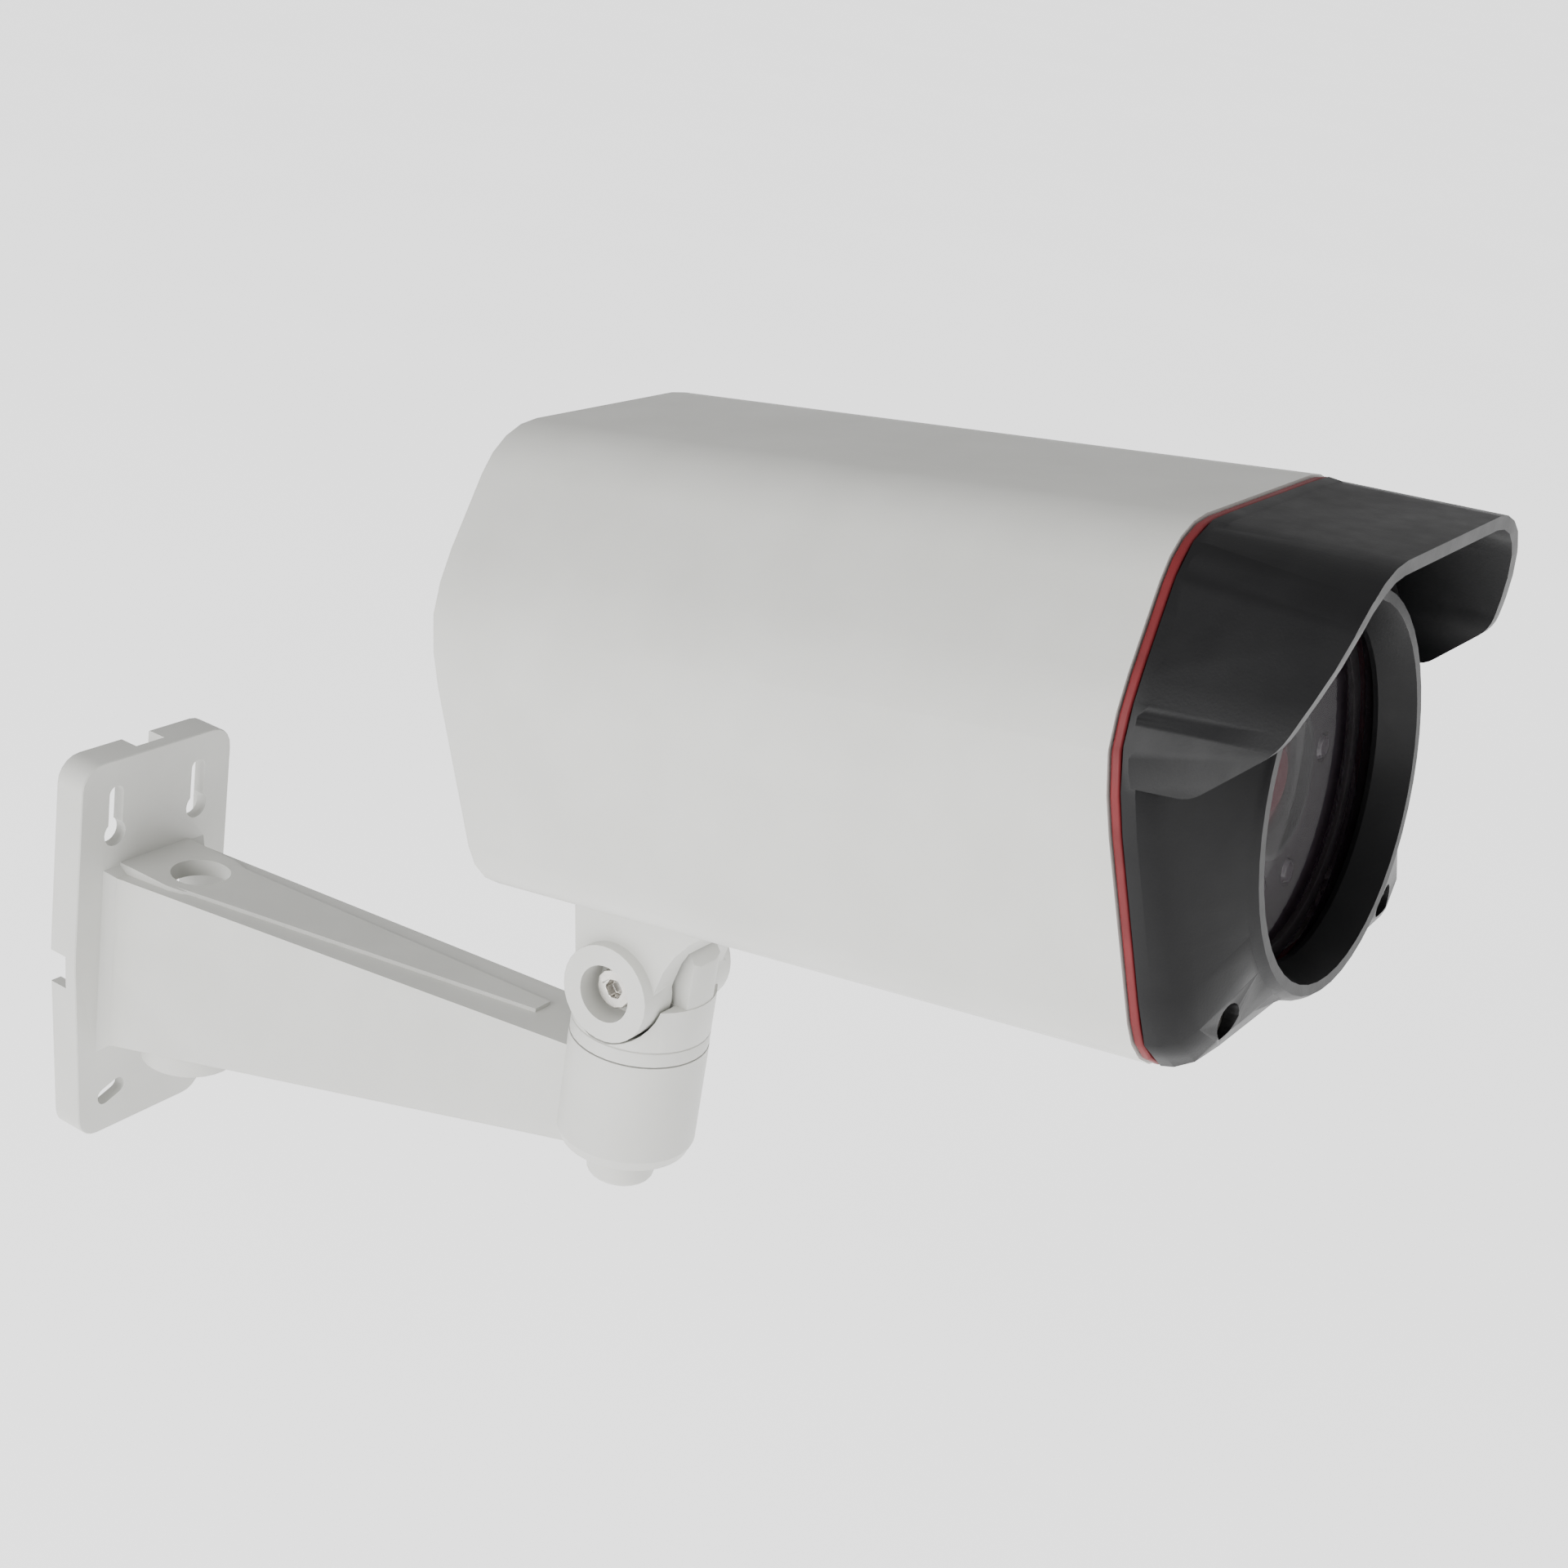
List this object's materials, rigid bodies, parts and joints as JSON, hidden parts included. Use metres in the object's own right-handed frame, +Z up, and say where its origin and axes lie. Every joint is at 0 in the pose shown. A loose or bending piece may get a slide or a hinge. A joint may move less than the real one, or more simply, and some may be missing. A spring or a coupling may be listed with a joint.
{
  "type": "security camera",
  "caption": "Outdoor bullet camera: six-sided painted housing, red gasket, black hooded bezel with round window, on a wall arm that pans and tilts.",
  "frame": {"origin": "centre of the wall plate's back face", "axes": "+X to the right seen from the front, +Y into the wall, +Z up; the lens looks along -Y"},
  "size_m": [0.106, 0.2914, 0.2366],
  "materials": {
    "painted_housing": "satin",
    "nylon": "satin",
    "steel": "satin",
    "black_rubber": "matte",
    "red_rubber": "satin",
    "black_gloss_plastic": "satin gloss",
    "black_plastic": "matte",
    "window_glass": "polished",
    "lens_glass": "polished",
    "panel_plastic": "satin",
    "circuit_board": "satin",
    "led_resin": "gloss",
    "aluminium": "satin"
  },
  "bodies": {
    "bracket": {"wall_bracket": "painted_housing", "pan_bolt_cap": "painted_housing"},
    "turret": {"swivel_turret": "painted_housing", "pan_washer": "nylon", "pan_bolt": "steel"},
    "head": {"tilt_foot": "painted_housing", "tilt_washer_left": "nylon", "tilt_washer_right": "nylon", "tilt_bolt": "steel", "tilt_nut": "steel", "housing_shell": "painted_housing", "foot_screw_1": "steel", "foot_screw_2": "steel", "foot_screw_3": "steel", "foot_screw_4": "steel", "rear_gasket": "black_rubber", "rear_cover": "painted_housing", "cable_gland": "black_plastic", "gland_nut": "black_plastic", "rear_screw_1": "steel", "rear_screw_2": "steel", "rear_screw_3": "steel", "rear_screw_4": "steel", "front_gasket": "red_rubber", "hooded_bezel": "black_gloss_plastic", "bezel_screw_1": "steel", "bezel_screw_2": "steel", "bezel_screw_3": "steel", "bezel_screw_4": "steel", "front_window": "window_glass", "window_seal": "black_rubber", "front_panel": "panel_plastic", "ir_led_board": "circuit_board", "ir_led_1": "led_resin", "ir_led_2": "led_resin", "ir_led_3": "led_resin", "ir_led_4": "led_resin", "ir_led_5": "led_resin", "ir_led_6": "led_resin", "light_sensor": "led_resin", "lens_barrel": "black_plastic", "front_lens": "lens_glass", "lens_mount": "black_plastic", "ir_cut_frame": "black_plastic", "image_sensor": "lens_glass", "sensor_board": "circuit_board", "chassis_tray": "aluminium", "main_board": "circuit_board", "board_standoff_1": "steel", "board_standoff_2": "steel", "power_board": "circuit_board"},
    "focus_ring": {"focus_ring": "black_plastic"},
    "zoom_ring": {"zoom_ring": "black_plastic"},
    "ir_cut": {"ir_cut_shuttle": "black_plastic"}
  },
  "joints": [
    {"name": "pan", "type": "hinge", "parent": "bracket", "child": "turret", "pos_m": [0, -0.1518, 0.03], "axis": [0, 0, 1], "range_deg": [-90, 90]},
    {"name": "tilt", "type": "hinge", "parent": "turret", "child": "head", "pos_m": [0, -0.1518, 0.0501], "axis": [0.9998, -0.0175, 0], "range_deg": [-25, 28]},
    {"name": "focus", "type": "hinge", "parent": "head", "child": "focus_ring", "pos_m": [-0.00197, -0.26461, 0.13682], "axis": [-0.0172, -0.9875, 0.1564], "range_deg": [-45, 45]},
    {"name": "zoom", "type": "hinge", "parent": "head", "child": "zoom_ring", "pos_m": [-0.00197, -0.26461, 0.13682], "axis": [-0.0172, -0.9875, 0.1564], "range_deg": [-45, 45]},
    {"name": "ir_cut", "type": "slide", "parent": "head", "child": "ir_cut", "axis": [0.9998, -0.0175, 0], "range_m": [0, 0.012]}
  ]
}
